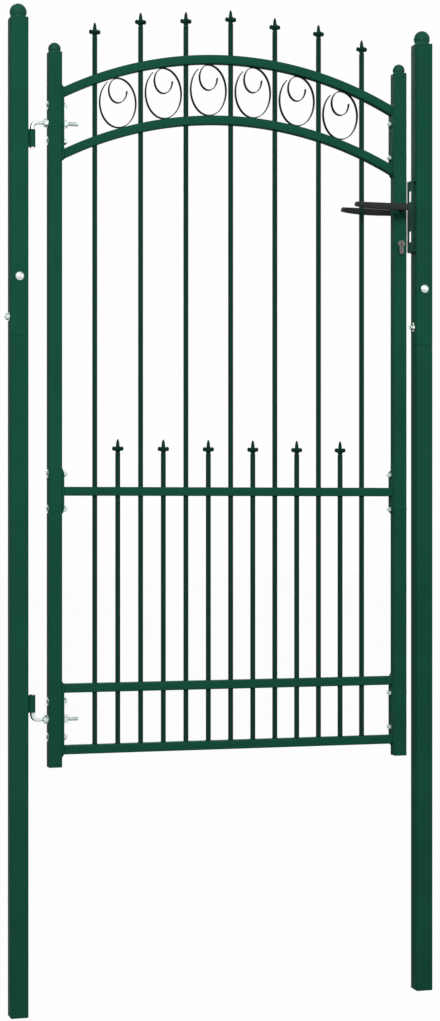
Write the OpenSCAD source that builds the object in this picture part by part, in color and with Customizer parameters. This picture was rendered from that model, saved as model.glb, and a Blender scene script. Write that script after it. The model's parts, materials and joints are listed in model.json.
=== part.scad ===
// Spear-top garden gate: one arched leaf hung between two posts, in powder-coated steel.
// The origin is the centre of the hinge post's foot. +X runs to the latch post,
// -Y is the front and +Z is up. The leaf turns about a vertical axis beside the hinge post.

/* [Set] */
// Width over both posts
set_w = 1000; // [900:5:1250]
// Length of each post from its foot to its cap
post_h = 2215; // [1850:1:2700]
// Gap between the hinge post and the leaf
hinge_gap = 47; // [40:1:60]
// Gap between the leaf and the latch post
latch_gap = 23; // [18:1:30]

/* [Posts] */
// Width of each square post
post_w = 40; // [35:1:60]
// Wall of the post tube
post_t = 1.5; // [1:0.1:3]
// Corner radius of the post tube
post_r = 3; // [1:0.5:5]
// Height of the joint between a post's two lengths
post_joint_z = 1512; // [1200:1:1540]
// Length of the spigot above the joint
spigot_up = 180; // [150:5:220]
// Length of the spigot below the joint
spigot_down = 120; // [80:5:160]
// Wall of the spigot tube
spigot_t = 2; // [1:0.1:4]
// Height of the side bolt above the joint
side_bolt_rise = 42; // [25:1:60]
// Height of the front bolt above the joint
front_bolt_rise = 131; // [90:1:140]
// Diameter of the ball on a post cap
post_ball_d = 38.4; // [25:0.2:45]
// Height of the neck below that ball
post_neck_h = 5; // [1:0.5:8]

/* [Leaf frame] */
// Height of the leaf's lower edge above the post feet
leaf_z = 551.5; // [450:0.5:650]
// Length of each leaf upright
upright_h = 1592.5; // [1300:0.5:1950]
// Width of each square leaf upright
upright_w = 30; // [26:1:36]
// Wall of the upright tube
upright_t = 1.5; // [1:0.1:2.5]
// Corner radius of the upright tube
upright_r = 2.5; // [1:0.5:4]
// Diameter of the ball on an upright cap
upright_ball_d = 28.4; // [20:0.2:32]
// Height of the neck below that ball
upright_neck_h = 1.5; // [1:0.5:5]
// Width of the square rails and arches
rail_w = 20; // [16:1:24]
// Wall of the rail and arch tube
rail_t = 1.5; // [1:0.1:2.5]
// Corner radius of the rail tube
rail_r = 2; // [1:0.5:3]
// Height of the bottom rail's centre above the leaf's lower edge
bottom_rail_rise = 38; // [30:1:60]
// Height of the lower rail's centre above the leaf's lower edge
lower_rail_rise = 175.5; // [160:0.5:220]
// Height of the middle rail's centre above the leaf's lower edge
mid_rail_rise = 615.5; // [500:0.5:740]
// Height of the upper arch's crown above the tops of the uprights
crown_rise = 19; // [0:1:60]
// Rise of each arch from its ends to its crown
arch_rise = 96; // [40:1:130]
// Drop from the upper arch to the lower arch
arch_drop = 138; // [110:1:170]

/* [Bars and ornaments] */
// Width of the square bars
bar_w = 10; // [8:0.5:14]
// Corner radius of the square bars
bar_r = 2; // [1:0.5:3]
// Wall of the bar tube
bar_t = 1.2; // [1:0.1:2]
// Number of bars, odd so that a long bar stands at each end
bar_count = 13; // [9:4:17]
// Distance from each upright to the middle of the first bar
end_bay = 77; // [50:1:100]
// Rise of the middle spear tip above the upper arch's crown
tip_rise = 105; // [80:1:140]
// Fall of the outer long bars' tips below the middle one
tip_fall = 48.5; // [0:0.5:90]
// Height of the short bars' tips above the middle rail's centre
short_tip_rise = 118; // [90:1:180]
// Height of a spear head above its bar
spear_h = 40.5; // [35:0.5:60]
// Height of the spear's cross above the bar
spear_cross_rise = 19; // [15:0.5:24]
// Span of the spear's cross over its knobs
spear_cross_span = 27; // [22:0.5:36]
// Diameter of the knobs on the spear's cross
spear_knob_d = 10; // [7:0.5:11]
// Thickness of the scroll strip
scroll_t = 2; // [1.5:0.1:3]
// Depth of the scroll strip
scroll_depth = 10; // [6:0.5:16]
// Gap between a scroll and the bars beside it
scroll_side_gap = 5.3; // [3:0.1:10]

/* [Joining plates] */
// Thickness of the plates that join rails to uprights
plate_t = 4.5; // [3:0.5:6]
// Overhang of a joining plate past the rails that it holds
plate_over = 5; // [3:0.5:15]
// Length of the middle rail's joining plate
mid_plate_l = 100; // [95:1:150]
// Distance from the middle and bottom plates' centres to each of their bolts
plate_bolt_off = 39.5; // [36:0.5:44]
// Distance from each arch's end to the top plate's bolt nearest to it
arch_bolt_inset = 29.5; // [27:0.5:34]
// Height of the bevel at each end of a joining plate
plate_bevel = 11; // [2:1:14]

/* [Hardware] */
// Diameter of the carriage bolts
bolt_d = 8; // [6:0.5:10]
// Diameter of the domed bolt heads
bolt_head_d = 19; // [14:0.5:22]
// Diameter of the hinge hook's rod
hook_d = 10; // [8:0.5:12]
// Distance of the hinge axis from the hinge post
hinge_off = 11.5; // [11:0.5:16]
// Centreline radius of the hinge hook's bend
hook_bend_r = 12; // [10:0.5:15]
// Length of the hook's threaded end past its joining plate
hook_end = 34; // [22:1:45]
// Length of each hinge barrel
barrel_h = 39; // [30:1:50]
// Outer diameter of each hinge barrel
barrel_d = 14.4; // [14:0.2:18]
// Distance from the hook's rod to the near end of its barrel
barrel_gap = 16; // [15:0.5:20]

/* [Lock] */
// Depth of the handle spindle below the tops of the uprights
spindle_drop = 316; // [290:1:330]
// Length of the lever from its axis to its tip
lever_l = 126; // [100:1:140]
// Distance from the leaf's centre plane to a lever's middle
lever_off = 47.5; // [40:0.5:60]
// Depth of the key cylinder below the spindle
cylinder_drop = 82; // [70:1:95]
// Height of the latch above the spindle
latch_rise = 32; // [26:1:38]
// Length of the latch nose outside the lock's front plate
latch_out = 4.8; // [3:0.1:6]
// Length of the lock's front plate and of the keeper
keeper_h = 167; // [150:1:190]
// Distance of the keeper's web from the latch post
keeper_off = 9.5; // [8:0.5:12]

/* [Hidden] */
$fn = 64;

// Clearances and small fixed sizes
fit = 0.2;               // bolts, rods and bars in their holes
slide_fit = 0.3;         // faces that slide or turn past each other
running_fit = 0.06;      // pins in barrels and the spindle in its case
over = 1;                // length by which a cut runs past a face
corner_steps = 3;        // facets on each rounded tube corner
arch_facets = 360;       // facets in a full circle of an arch's radius
plug_h = 15;             // depth of a plug or a cap inside its tube
cap_plate_h = 3;         // thickness of a cap's square plate
cap_bevel = 2;           // bevel on top of a cap's plate
washer_t = 1.6;
washer_d = 20;
nut_over = 3;            // thread that shows past a nut
bolt_head_h = 4.5;
bolt_nut_af = 13;        // width of the bolt nuts over their flats
bolt_nut_h = 6.5;
hook_nut_af = 17;
hook_nut_h = 8;
keeper_t = 2.5;
front_plate_t = 2.5;
front_plate_w = 24;
strike_w = 18;
strike_h = 25;
dead_bolt_rise = 20;     // height of the keeper's lower hole above the key cylinder

green = [0.10, 0.29, 0.22];
dark = [0.15, 0.16, 0.16];
zinc = [0.80, 0.83, 0.82];

// Places along X
latch_post_x = set_w - post_w;
hinge_x = post_w / 2 + hinge_off;
hinge_upright_x = post_w / 2 + hinge_gap + upright_w / 2;
latch_upright_x = latch_post_x - post_w / 2 - latch_gap - upright_w / 2;
inner_x0 = hinge_upright_x + upright_w / 2;
inner_x1 = latch_upright_x - upright_w / 2;
inner_w = inner_x1 - inner_x0;
mid_x = (inner_x0 + inner_x1) / 2;
bar_pitch = (inner_w - 2 * end_bay) / (bar_count - 1);
upright_xs = [hinge_upright_x, latch_upright_x];
post_xs = [0, latch_post_x];

// Heights
leaf_top = leaf_z + upright_h;
bottom_rail_z = leaf_z + bottom_rail_rise;
lower_rail_z = leaf_z + lower_rail_rise;
mid_rail_z = leaf_z + mid_rail_rise;
crown_z = leaf_top + crown_rise;
arch_r = (pow(inner_w / 2, 2) + pow(arch_rise, 2)) / (2 * arch_rise);
upper_arch_z0 = crown_z - arch_r;
lower_arch_z0 = upper_arch_z0 - arch_drop;
arch_end_z = crown_z - arch_rise - rail_w / 2;
top_plate_z = arch_end_z - arch_drop / 2;
bottom_plate_z = (bottom_rail_z + lower_rail_z) / 2;
top_plate_l = arch_drop + rail_w + 2 * plate_over;
bottom_plate_l = lower_rail_z - bottom_rail_z + rail_w + 2 * plate_over;

// The top plates' bolts keep their distance from the arches that those plates hold
top_bolt_off = arch_drop / 2 - arch_bolt_inset;

// Height of the centre, length and bolt distance of each joining plate
plates = [
    [top_plate_z, top_plate_l, top_bolt_off],
    [mid_rail_z, mid_plate_l, plate_bolt_off],
    [bottom_plate_z, bottom_plate_l, plate_bolt_off]
];
spindle_z = leaf_top - spindle_drop;
latch_z = spindle_z + latch_rise;
cylinder_z = spindle_z - cylinder_drop;
keeper_z = (latch_z + cylinder_z + dead_bolt_rise) / 2;

// Spear tips: the long bars' tips fall away from the middle, by these shares of tip_fall
// at these shares of the way to the outer bar, and the short bars' tips are level
tip_shares = [[0, 0], [1 / 3, 0.22], [2 / 3, 0.4], [1, 1]];
half_span = bar_pitch * (bar_count - 1) / 2;
function arch_dip(x, r) = r - sqrt(r * r - x * x);
function bar_x(i) = mid_x + (i - (bar_count - 1) / 2) * bar_pitch;
function long_tip_z(x) =
    crown_z + tip_rise - tip_fall * lookup(abs(x - mid_x) / half_span, tip_shares);
short_tip_z = mid_rail_z + short_tip_rise;
function is_long(i) = i % 2 == 0;
long_xs = [for (i = [0 : bar_count - 1]) if (is_long(i)) bar_x(i)];
short_xs = [for (i = [0 : bar_count - 1]) if (!is_long(i)) bar_x(i)];
all_xs = concat(long_xs, short_xs);
scroll_xs = [for (i = [1 : 2 : bar_count - 2]) bar_x(i)];

// ---- Shared shapes ----

module rounded_square(w, r) {
    c = w / 2 - r;
    polygon([
        for (q = [0 : 3], i = [0 : corner_steps])
            let (a = 90 * (q + i / corner_steps))
            [(q == 0 || q == 3 ? c : -c) + r * cos(a), (q < 2 ? c : -c) + r * sin(a)]
    ]);
}

module bar(w, r, h) {
    linear_extrude(height = h) rounded_square(w, r);
}

module tube(w, r, t, h) {
    linear_extrude(height = h)
        difference() {
            rounded_square(w, r);
            square(w - 2 * t, center = true);
        }
}

module along_x(x, z) {
    translate([x, 0, z]) rotate([0, 90, 0]) children();
}

module along_y(x, y, z) {
    translate([x, y, z]) rotate([-90, 0, 0]) children();
}

// Ball cap whose plate rests on a tube of width w that ends at the origin
module ball_cap(w, r, t, ball_d, neck_h) {
    neck_d = ball_d * 0.9;
    ball_rise = sqrt(pow(ball_d / 2, 2) - pow(neck_d / 2, 2));
    color(green) {
        translate([0, 0, -plug_h]) cube_on(w - 2 * t - 2 * fit, plug_h + over);
        bar(w, r, cap_plate_h - cap_bevel);
        translate([0, 0, cap_plate_h - cap_bevel])
            linear_extrude(height = cap_bevel, scale = (w - 2 * cap_bevel) / w)
            rounded_square(w, r);
        translate([0, 0, cap_plate_h - over / 4]) cylinder(d = neck_d, h = neck_h);
        translate([0, 0, cap_plate_h + neck_h - over / 2 + ball_rise]) sphere(d = ball_d);
    }
}

module cube_on(w, h) {
    translate([-w / 2, -w / 2, 0]) cube([w, w, h]);
}

module foot_plug(w, t) {
    color(dark) cube_on(w - 2 * t - 2 * fit, plug_h);
}

// Bolt along +Z whose head's underside is at the origin
module carriage_bolt(grip) {
    dome_r = (pow(bolt_head_d / 2, 2) + pow(bolt_head_h, 2)) / (2 * bolt_head_h);
    color(zinc) {
        intersection() {
            translate([0, 0, dome_r - bolt_head_h]) sphere(r = dome_r);
            translate([0, 0, -bolt_head_h]) cylinder(d = bolt_head_d, h = bolt_head_h);
        }
        translate([0, 0, -over]) cylinder(d = bolt_d, h = grip + bolt_nut_h + nut_over + over);
    }
}

module nut(af, h, d) {
    color(zinc)
        difference() {
            cylinder(d = af / cos(30), h = h, $fn = 6);
            translate([0, 0, -over]) cylinder(d = d + 2 * fit, h = h + 2 * over);
        }
}

module washer(d) {
    color(zinc)
        difference() {
            cylinder(d = washer_d, h = washer_t);
            translate([0, 0, -over]) cylinder(d = d + 2 * fit, h = washer_t + 2 * over);
        }
}

// ---- Posts ----

front_bolt_z = post_joint_z + front_bolt_rise;
side_bolt_z = post_joint_z + side_bolt_rise;
spigot_w = post_w - 2 * post_t - 2 * fit;

// Holes of the two bolts that pin a post to its spigot
module post_bolt_holes(x) {
    along_y(x, -post_w, front_bolt_z) cylinder(d = bolt_d + 2 * fit, h = 2 * post_w);
    along_x(x - post_w, side_bolt_z) cylinder(d = bolt_d + 2 * fit, h = post_w);
}

module post_lower(x) {
    color(green) translate([x, 0, 0]) tube(post_w, post_r, post_t, post_joint_z);
}

module post_upper(x) {
    color(green)
        difference() {
            translate([x, 0, post_joint_z])
                tube(post_w, post_r, post_t, post_h - post_joint_z);
            post_bolt_holes(x);
        }
}

module post_spigot(x) {
    color(green)
        difference() {
            translate([x, 0, post_joint_z - spigot_down])
                difference() {
                    cube_on(spigot_w, spigot_down + spigot_up);
                    translate([0, 0, -over])
                        cube_on(spigot_w - 2 * spigot_t, spigot_down + spigot_up + 2 * over);
                }
            post_bolt_holes(x);
        }
}

// Through bolt from the front, and a bolt from inside the spigot out of the left face
module post_bolts(x) {
    inside = post_t + fit + spigot_t;
    along_y(x, -post_w / 2, front_bolt_z) carriage_bolt(post_w + washer_t);
    along_y(x, post_w / 2, front_bolt_z) washer(bolt_d);
    along_y(x, post_w / 2 + washer_t, front_bolt_z) nut(bolt_nut_af, bolt_nut_h, bolt_d);
    translate([x - post_w / 2 + inside, 0, side_bolt_z])
        rotate([0, -90, 0]) carriage_bolt(inside + washer_t);
    translate([x - post_w / 2, 0, side_bolt_z]) rotate([0, -90, 0]) washer(bolt_d);
    translate([x - post_w / 2 - washer_t, 0, side_bolt_z])
        rotate([0, -90, 0]) nut(bolt_nut_af, bolt_nut_h, bolt_d);
}

module post_ball_cap(x) {
    translate([x, 0, post_h]) ball_cap(post_w, post_r, post_t, post_ball_d, post_neck_h);
}

module hinge_post_lower() post_lower(0);
module hinge_post_upper() post_upper(0);
module hinge_post_spigot() post_spigot(0);
module hinge_post_bolts() post_bolts(0);
module hinge_post_ball_cap() post_ball_cap(0);
module hinge_post_foot_plug() foot_plug(post_w, post_t);

module latch_post_lower() post_lower(latch_post_x);
module latch_post_upper() post_upper(latch_post_x);
module latch_post_spigot() post_spigot(latch_post_x);
module latch_post_bolts() post_bolts(latch_post_x);
module latch_post_ball_cap() post_ball_cap(latch_post_x);
module latch_post_foot_plug() translate([latch_post_x, 0, 0]) foot_plug(post_w, post_t);

// Barrel on the hinge axis, with the lug that welds it to the post
module hinge_barrel(z0) {
    lug_w = barrel_d * 0.6;
    color(green)
        translate([hinge_x, 0, z0])
        difference() {
            union() {
                cylinder(d = barrel_d, h = barrel_h);
                translate([-hinge_off, -lug_w / 2, 0]) cube([hinge_off, lug_w, barrel_h]);
            }
            translate([0, 0, -over])
                cylinder(d = hook_d + 2 * running_fit, h = barrel_h + 2 * over);
        }
}

module upper_hinge_barrel() hinge_barrel(top_plate_z - barrel_gap - barrel_h);
module lower_hinge_barrel() hinge_barrel(bottom_plate_z + barrel_gap);

// Bridge-shaped plate with a hole for the latch and one for the dead bolt
module keeper() {
    keeper_w = post_w - 2 * post_r;
    face_x = latch_post_x - post_w / 2;
    color(green)
        difference() {
            translate([face_x - keeper_off, -keeper_w / 2, keeper_z - keeper_h / 2])
                cube([keeper_off, keeper_w, keeper_h]);
            translate([face_x - keeper_off + keeper_t, -keeper_w, keeper_z - keeper_h / 2 + keeper_t])
                cube([keeper_off, 2 * keeper_w, keeper_h - 2 * keeper_t]);
            for (z = [latch_z, 2 * keeper_z - latch_z])
                translate([face_x - keeper_off - over, -strike_w / 2, z - strike_h / 2])
                    cube([keeper_t + 2 * over, strike_w, strike_h]);
        }
}

// ---- Leaf frame ----

module plate_bolt_holes(x) {
    for (p = plates, s = [-1, 1])
        along_x(x - upright_w, p[0] + s * p[2])
            cylinder(d = bolt_d + 2 * fit, h = 2 * upright_w);
}

module hook_holes() {
    for (z = [top_plate_z, bottom_plate_z])
        along_x(hinge_upright_x - upright_w, z)
            cylinder(d = hook_d + 2 * fit, h = 2 * upright_w);
}

module upright_tube(x) {
    translate([x, 0, leaf_z]) tube(upright_w, upright_r, upright_t, upright_h);
}

module hinge_upright() {
    color(green)
        difference() {
            upright_tube(hinge_upright_x);
            plate_bolt_holes(hinge_upright_x);
            hook_holes();
        }
}

// The latch upright is open on its outer side for the lock case
module latch_upright() {
    color(green)
        difference() {
            upright_tube(latch_upright_x);
            plate_bolt_holes(latch_upright_x);
            along_y(latch_upright_x, -upright_w, spindle_z)
                cylinder(d = lever_neck_d + 2 * slide_fit, h = 2 * upright_w);
            cylinder_profile(fit);
            translate([latch_upright_x, -case_w / 2 - fit, keeper_z - case_h / 2 - fit])
                cube([upright_w, case_w + 2 * fit, case_h + 2 * fit]);
        }
}

module upright_ball_cap(x) {
    translate([x, 0, leaf_top])
        ball_cap(upright_w, upright_r, upright_t, upright_ball_d, upright_neck_h);
}

module hinge_upright_ball_cap() upright_ball_cap(hinge_upright_x);
module latch_upright_ball_cap() upright_ball_cap(latch_upright_x);

module upright_foot_plugs() {
    for (x = upright_xs) translate([x, 0, leaf_z]) foot_plug(upright_w, upright_t);
}

// Square holes through which the bars at xs pass
module bar_holes(xs, z0, z1) {
    for (x = xs) translate([x, 0, z0]) bar(bar_w + 2 * fit, bar_r, z1 - z0);
}

module arch(z0) {
    reach = asin((inner_w / 2 + rail_w) / arch_r);
    color(green)
        difference() {
            intersection() {
                translate([mid_x, 0, z0])
                    rotate([90, reach - 90, 0])
                    rotate_extrude(angle = 2 * reach, $fn = arch_facets)
                    translate([arch_r - rail_w / 2, 0])
                    difference() {
                        rounded_square(rail_w, rail_r);
                        square(rail_w - 2 * rail_t, center = true);
                    }
                translate([inner_x0 + plate_t, -rail_w, z0])
                    cube([inner_w - 2 * plate_t, 2 * rail_w, arch_r + rail_w]);
            }
            bar_holes(long_xs, z0, z0 + arch_r + over);
        }
}

module upper_arch() arch(upper_arch_z0);
module lower_arch() arch(lower_arch_z0);

module rail(z) {
    along_x(inner_x0 + plate_t, z) tube(rail_w, rail_r, rail_t, inner_w - 2 * plate_t);
}

module mid_rail() {
    color(green)
        difference() {
            rail(mid_rail_z);
            bar_holes(all_xs, mid_rail_z - rail_w, mid_rail_z + rail_w);
        }
}

module lower_rail() {
    color(green)
        difference() {
            rail(lower_rail_z);
            bar_holes(all_xs, lower_rail_z - rail_w, lower_rail_z + rail_w);
        }
}

module bottom_rail() color(green) rail(bottom_rail_z);

// ---- Bars and ornaments ----

bar_z0 = bottom_rail_z + rail_w / 2;

module standing_bar(x, top_z) {
    color(green) translate([x, 0, bar_z0]) tube(bar_w, bar_r, bar_t, top_z - bar_z0);
}

module long_bars() {
    for (x = long_xs) standing_bar(x, long_tip_z(x) - spear_h);
}

module short_bars() {
    for (x = short_xs) standing_bar(x, short_tip_z - spear_h);
}

// Spear head whose foot is at the origin, with a peg that fits inside its bar
module spear() {
    cross_z = spear_cross_rise;
    waist_r = bar_w * 0.36;
    knob_x = (spear_cross_span - spear_knob_d) / 2;
    color(green) {
        translate([0, 0, -plug_h / 2]) cube_on(bar_w - 2 * bar_t - 2 * fit, plug_h / 2 + over);
        rotate_extrude()
            polygon([
                [0, 0], [bar_w / 2, 0], [bar_w / 2, 2], [waist_r, 8], [waist_r, cross_z - 5],
                [bar_w / 2, cross_z - 1], [waist_r, cross_z + 4], [0.4, spear_h], [0, spear_h]
            ]);
        for (a = [0, 90])
            translate([0, 0, cross_z]) rotate([0, 0, a]) {
                along_x(-knob_x, 0) cylinder(d = spear_knob_d * 0.7, h = 2 * knob_x);
                for (s = [-1, 1]) translate([s * knob_x, 0, 0]) sphere(d = spear_knob_d);
            }
    }
}

module long_bar_spears() {
    for (x = long_xs) translate([x, 0, long_tip_z(x) - spear_h]) spear();
}

module short_bar_spears() {
    for (x = short_xs) translate([x, 0, short_tip_z - spear_h]) spear();
}

// A scroll is a strip that starts as a small inner oval, runs over its top
// into the outer oval and ends close to that top again.
scroll_step = 10;
scroll_end = 415;
scroll_a = bar_pitch - bar_w / 2 - scroll_side_gap;

function oval(a, b, z, t) = [a * sin(t), z + b * cos(t)];
function scroll_path(a, b) = concat(
    [for (t = [90 : scroll_step : 350]) oval(a / 2, b / 2, b / 2, t)],
    [for (t = [360 : scroll_step : 360 + scroll_end - 90]) oval(a, b, 0, t)]
);
function unit(v) = v / norm(v);
function side(path, i, off) =
    let (
        n = len(path) - 1,
        d = unit(path[min(i + 1, n)] - path[max(i - 1, 0)])
    )
    path[i] + off * [-d[1], d[0]];

module strip(path, t) {
    n = len(path) - 1;
    polygon(concat(
        [for (i = [0 : n]) side(path, i, t / 2)],
        [for (i = [n : -1 : 0]) side(path, i, -t / 2)]
    ));
}

// The oval is made shorter where the arches slope, so that it just touches both
module scrolls() {
    for (x = scroll_xs) {
        off = x - mid_x;
        slope = off / sqrt(pow(arch_r, 2) - pow(off, 2));
        room = (arch_drop - rail_w * sqrt(1 + slope * slope)) / 2;
        a = scroll_a - scroll_t / 2;
        b = sqrt(pow(room, 2) - pow(scroll_a * slope, 2)) - scroll_t / 2 - slide_fit;
        z = (upper_arch_z0 + lower_arch_z0) / 2 + arch_r - arch_dip(off, arch_r)
            - rail_w * sqrt(1 + slope * slope) / 2;
        color(dark)
            translate([x, scroll_depth / 2, z]) rotate([90, 0, 0])
            linear_extrude(height = scroll_depth) strip(scroll_path(a, b), scroll_t);
    }
}

// ---- Joining plates and bolts ----

// Plate on the inner face of an upright, thinned at both ends; side is its thick side's sign
module joining_plate(length, side) {
    l = length / 2;
    tip = 1;
    translate([0, upright_w / 2, 0]) rotate([90, 0, 0])
        linear_extrude(height = upright_w)
        polygon([
            [0, -l], [side * tip, -l], [side * plate_t, -l + plate_bevel],
            [side * plate_t, l - plate_bevel], [side * tip, l], [0, l]
        ]);
}

module hinge_side_plates() {
    color(green)
        difference() {
            for (p = plates) translate([inner_x0, 0, p[0]]) joining_plate(p[1], 1);
            plate_bolt_holes(hinge_upright_x);
            hook_holes();
        }
}

module latch_side_plates() {
    color(green)
        difference() {
            for (p = plates) translate([inner_x1, 0, p[0]]) joining_plate(p[1], -1);
            plate_bolt_holes(latch_upright_x);
        }
}

// Places one child at each plate bolt, at the outer face and pointing inwards
module at_plate_bolts(depth) {
    for (side = [1, -1], p = plates, s = [-1, 1]) {
        x = side > 0 ? hinge_upright_x - upright_w / 2 : latch_upright_x + upright_w / 2;
        translate([x + side * depth, 0, p[0] + s * p[2]])
            rotate([0, side * 90, 0]) children();
    }
}

module plate_bolts() at_plate_bolts(0) carriage_bolt(upright_w + plate_t);
module plate_bolt_nuts() at_plate_bolts(upright_w + plate_t) nut(bolt_nut_af, bolt_nut_h, bolt_d);

// ---- Hinge hooks ----

// Rod through the upright that bends into the barrel; dir is +1 upwards, -1 downwards
module hinge_hook(z, dir) {
    pin_len = barrel_gap - hook_bend_r + barrel_h + nut_over;
    rod_x = hinge_x + hook_bend_r;
    color(zinc)
        translate([0, 0, z]) {
            along_x(rod_x, 0) cylinder(d = hook_d, h = inner_x0 + plate_t + hook_end - rod_x);
            translate([rod_x, 0, dir * hook_bend_r])
                rotate([90, dir > 0 ? 180 : -90, 0])
                rotate_extrude(angle = 90)
                translate([hook_bend_r, 0]) circle(d = hook_d);
            translate([hinge_x, 0, dir > 0 ? hook_bend_r : -hook_bend_r - pin_len])
                cylinder(d = hook_d, h = pin_len);
        }
}

module upper_hinge_hook() hinge_hook(top_plate_z, -1);
module lower_hinge_hook() hinge_hook(bottom_plate_z, 1);

module hinge_hook_nuts() {
    outer_x = hinge_upright_x - upright_w / 2;
    for (z = [top_plate_z, bottom_plate_z]) {
        along_x(outer_x - washer_t, z) washer(hook_d);
        along_x(outer_x - washer_t - hook_nut_h, z) nut(hook_nut_af, hook_nut_h, hook_d);
        along_x(inner_x0 + plate_t, z) washer(hook_d);
        along_x(inner_x0 + plate_t + washer_t, z) nut(hook_nut_af, hook_nut_h, hook_d);
    }
}

// ---- Lock ----

case_w = 18;
case_h = 154;
case_depth = upright_w - upright_t - fit;
case_back_x = latch_upright_x + upright_w / 2 - case_depth;
spindle_d = 10;
lever_neck_d = 16;
latch_w = 12;
latch_h = 15;
latch_l = 22;

// Cylinder outline with a round barrel above a narrower tail, widened by c
module cylinder_profile(c) {
    barrel_r = 8.5;
    tail_w = 10;
    profile_h = 33;
    long = upright_w + 10;
    along_y(latch_upright_x, -long / 2 - c, cylinder_z) {
        cylinder(r = barrel_r + c, h = long + 2 * c);
        translate([-tail_w / 2 - c, 0, 0])
            cube([tail_w + 2 * c, profile_h - barrel_r - tail_w / 2 + c, long + 2 * c]);
        translate([0, profile_h - barrel_r - tail_w / 2 + c, 0])
            cylinder(d = tail_w + 2 * c, h = long + 2 * c);
    }
}

module key_cylinder() color(zinc) cylinder_profile(0);

module lock_case() {
    color(dark)
        difference() {
            translate([case_back_x, -case_w / 2, keeper_z - case_h / 2])
                cube([case_depth, case_w, case_h]);
            along_y(latch_upright_x, -upright_w, spindle_z)
                cylinder(d = spindle_d + 2 * running_fit, h = 2 * upright_w);
            cylinder_profile(fit);
            latch_space(case_back_x + upright_t);
        }
}

// Space that the latch slides in, from x0 out past the front plate
module latch_space(x0) {
    translate([x0, -latch_w / 2 - slide_fit, latch_z - latch_h / 2 - slide_fit])
        cube([upright_w, latch_w + 2 * slide_fit, latch_h + 2 * slide_fit]);
}

module lock_front_plate() {
    color(zinc)
        difference() {
            translate([latch_upright_x + upright_w / 2, -front_plate_w / 2, keeper_z - keeper_h / 2])
                cube([front_plate_t, front_plate_w, keeper_h]);
            latch_space(latch_upright_x);
        }
}

// Sprung latch, sloped on the side that meets the keeper as the leaf closes
module latch_bolt() {
    tip_x = latch_upright_x + upright_w / 2 + front_plate_t + latch_out;
    slope_l = latch_out;
    color(zinc)
        translate([tip_x, 0, latch_z - latch_h / 2])
        linear_extrude(height = latch_h)
        polygon([
            [-latch_l, -latch_w / 2], [-slope_l, -latch_w / 2], [0, latch_w / 4],
            [0, latch_w / 2], [-latch_l, latch_w / 2]
        ]);
}

// Grip of the lever: level on top, with a slight belly below
function grip_depth(u) = 9.5 + 5 * sin(150 * (1 - u) + 20);
module lever() {
    lever_t = 12;
    lever_top = 8;
    neck_l = lever_off - lever_t / 2 - case_w / 2 - slide_fit;
    socket_l = 20;
    steps = 12;
    color(dark)
        difference() {
            union() {
                along_y(0, -lever_off - lever_t / 2, 0)
                    cylinder(d = lever_neck_d, h = neck_l + lever_t);
                translate([0, -lever_off + lever_t / 2, 0]) rotate([90, 0, 0])
                    linear_extrude(height = lever_t)
                    polygon(concat(
                        [[0, lever_top], [-lever_l + 2, lever_top], [-lever_l, lever_top - 2]],
                        [for (i = [steps : -1 : 0])
                            let (u = i / steps)
                            [-lever_l * u, lever_top - grip_depth(u)]]
                    ));
            }
            along_y(0, -case_w / 2 - slide_fit - socket_l, 0)
                cylinder(d = spindle_d + 2 * fit, h = socket_l + over);
        }
}

module front_lever() translate([latch_upright_x, 0, spindle_z]) lever();
module back_lever() translate([latch_upright_x, 0, spindle_z]) mirror([0, 1, 0]) lever();

module handle_spindle() {
    reach = case_w / 2 + slide_fit + 20 - fit;
    color(zinc) along_y(latch_upright_x, -reach, spindle_z) cylinder(d = spindle_d, h = 2 * reach);
}

hinge_post_lower();
hinge_post_upper();
hinge_post_spigot();
hinge_post_ball_cap();
hinge_post_bolts();
hinge_post_foot_plug();
latch_post_lower();
latch_post_upper();
latch_post_spigot();
latch_post_ball_cap();
latch_post_bolts();
latch_post_foot_plug();
upper_hinge_barrel();
lower_hinge_barrel();
keeper();
hinge_upright();
latch_upright();
hinge_upright_ball_cap();
latch_upright_ball_cap();
upright_foot_plugs();
upper_arch();
lower_arch();
mid_rail();
lower_rail();
bottom_rail();
long_bars();
short_bars();
long_bar_spears();
short_bar_spears();
scrolls();
hinge_side_plates();
latch_side_plates();
plate_bolts();
plate_bolt_nuts();
upper_hinge_hook();
lower_hinge_hook();
hinge_hook_nuts();
lock_case();
lock_front_plate();
key_cylinder();
latch_bolt();
front_lever();
back_lever();
handle_spindle();
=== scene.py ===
import json
import math
from functools import cached_property

import bmesh
import bpy
from bpy.props import FloatProperty, FloatVectorProperty, PointerProperty
from bpy.types import Operator, Panel, PropertyGroup
from mathutils import Matrix, Vector


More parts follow.
